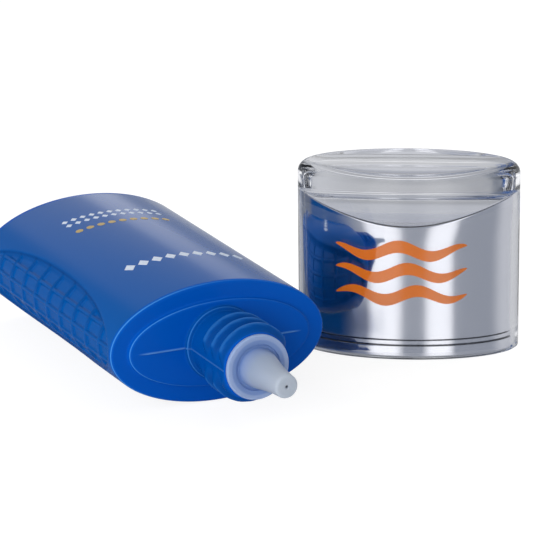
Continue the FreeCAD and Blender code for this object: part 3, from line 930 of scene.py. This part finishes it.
# screens: middle azimuth, half width and soft edge in degrees, foot and top as the sine
# of the height, and whether the part below the floor mirrors the part above
noFoot = (-2.0, -1.5)  # lower than any direction
screens = (
    {"colour": (0.0, 0.06, 0.22, 1), "span": (-118.0, 38.0, 24.0),
     "foot": noFoot, "top": (0.3, 0.5), "mirror": True},
    {"colour": (0.40, 0.41, 0.43, 1), "span": (165.0, 42.0, 18.0),
     "foot": (0.06, 0.24), "top": (0.5, 0.85), "mirror": True},
    {"colour": (0.15, 0.17, 0.21, 1), "span": (210.0, 18.0, 12.0),
     "foot": noFoot, "top": (0.5, 0.7), "mirror": False},
    {"colour": (1.00, 1.00, 1.01, 1), "span": (138.0, 20.0, 16.0),
     "foot": (0.10, 0.20), "top": (0.262, 0.31), "mirror": False},
    {"colour": (0.60, 0.61, 0.63, 1), "span": (88.0, 22.0, 34.0),
     "foot": noFoot, "top": (0.5, 0.85), "mirror": True},
    {"colour": (1.20, 1.20, 1.20, 1), "span": (-45.5, 5.0, 7.0),
     "foot": noFoot, "top": (0.75, 0.95), "mirror": True},
    {"colour": (1.20, 1.20, 1.20, 1), "span": (-14.0, 4.0, 7.0),
     "foot": noFoot, "top": (0.75, 0.95), "mirror": True},
)


def rayKinds(wire):
    # rays from the camera, and rays that come by way of a mirror or a clear wall
    camera = wire.node("ShaderNodeLightPath", output="Is Camera Ray")
    glossy, transmitted = camera.out("Is Glossy Ray"), camera.out("Is Transmission Ray")
    return camera, camera.math("MAXIMUM", glossy, transmitted)


def studioWorld():
    world = bpy.data.worlds.new("studio")
    scene.world = world
    world.use_nodes = True
    world.node_tree.nodes.clear()
    wire = Wire(world.node_tree)
    way = wire.node("ShaderNodeTexCoord", output="Generated")
    parts = wire.node("ShaderNodeSeparateXYZ", {}, {"Vector": way})
    x, y, z = parts.out("X"), parts.out("Y"), parts.out("Z")
    level = (x * x + y * y) ** 0.5 + studio["levelLeast"]

    def towards(azimuth, half, soft):
        turn = math.radians(azimuth)
        cosine = (x * math.cos(turn) + y * math.sin(turn)) / level
        return cosine.step(math.cos(math.radians(half + soft)), math.cos(math.radians(half)))

    seen = mixColour(z.step(*studio["ceilingFoot"]), studio["room"], studio["ceiling"])
    for screen in screens:
        height = abs(z) if screen["mirror"] else z
        cover = towards(*screen["span"]) * height.step(*screen["foot"])
        cover = cover * (1 - height.step(*screen["top"]))
        seen = mixColour(cover, seen, screen["colour"])
    camera, mirrored = rayKinds(wire)
    seen = mixColour(mirrored, studio["plain"], seen)
    seen = mixColour(camera, seen, studio["white"])
    light = wire.node("ShaderNodeBackground", {}, {"Color": seen})
    wire.node("ShaderNodeOutputWorld", {}, {"Surface": light})


def whiteFloor():
    half = studio["floorHalf"]
    mesh = bpy.data.meshes.new("floor")
    corners = [(-half, -half, 0), (half, -half, 0), (half, half, 0), (-half, half, 0)]
    mesh.from_pydata(corners, [], [(0, 1, 2, 3)])
    material, wire = newMaterial("floorWhite")
    matt = wire.node("ShaderNodeBsdfDiffuse", {}, {"Color": studio["floorColour"]})
    glow = wire.node("ShaderNodeEmission", {}, {"Strength": studio["floorGlow"]})
    polish = wire.node("ShaderNodeBsdfGlossy", {}, {
        "Color": studio["white"], "Roughness": studio["floorBlur"]})
    polish = wire.node("ShaderNodeMixShader", {}, {
        0: studio["floorPolish"], 1: wire.node("ShaderNodeBsdfTransparent"), 2: polish})
    camera, mirrored = rayKinds(wire)
    shade = wire.node("ShaderNodeMixShader", {}, {
        0: camera * (1 - studio["floorKeep"]), 1: matt, 2: glow})
    shade = wire.node("ShaderNodeMixShader", {}, {0: mirrored, 1: shade, 2: polish})
    wire.node("ShaderNodeOutputMaterial", {}, {"Surface": shade})
    mesh.materials.append(material)
    newObject("floor", mesh)


lamps = {
    "front": {"place": (0.9, -0.8, 0.3), "size": (0.7, 0.7), "power": 6.8},
    "left": {"place": (0.17, -0.95, 0.5), "size": (0.3, 0.7), "power": 3.5},
    "right": {"place": (-0.40, 0.75, 0.5), "size": (0.5, 0.5), "power": 3.5},
}


def studioLamps():
    for name, lamp in lamps.items():
        light = bpy.data.lights.new(name, "AREA")
        light.shape = "RECTANGLE"
        light.size, light.size_y = lamp["size"]
        light.energy = lamp["power"]
        made = bpy.data.objects.new(name, light)
        made.location = lamp["place"]
        aim = Vector(studio["lampAim"]) - Vector(lamp["place"])
        made.rotation_euler = aim.to_track_quat("-Z", "Y").to_euler()
        made.visible_camera = False
        # the screens are what shines in the pieces
        made.visible_glossy = made.visible_transmission = False
        scene.collection.objects.link(made)


cameraView = {
    "place": (0.48051, -0.22940, 0.17473), "heading": (-0.9035, 0.4285),
    "dip": 16.524, "roll": -0.01103, "lens": 180.3, "sensor": 36.0, "clip": (0.01, 20.0),
}


def viewCamera():
    data = bpy.data.cameras.new("camera")
    data.lens, data.sensor_width = cameraView["lens"], cameraView["sensor"]
    data.clip_start, data.clip_end = cameraView["clip"]
    made = bpy.data.objects.new("camera", data)
    heading = Vector((*cameraView["heading"], 0)).normalized()
    dip = math.radians(cameraView["dip"])
    look = heading * math.cos(dip) - Vector((0, 0, math.sin(dip)))
    roll = Matrix.Rotation(cameraView["roll"], 4, "Z")
    turn = look.to_track_quat("-Z", "Y").to_matrix().to_4x4() @ roll
    made.matrix_world = Matrix.Translation(cameraView["place"]) @ turn
    scene.collection.objects.link(made)
    scene.camera = made


studioWorld()
whiteFloor()
studioLamps()
viewCamera()
scene.view_settings.view_transform = "Standard"
scene.cycles.max_bounces = studio["bounces"]  # enough for the clear cap
scene.cycles.transmission_bounces = scene.cycles.glossy_bounces = studio["bounces"]
print("studio set")
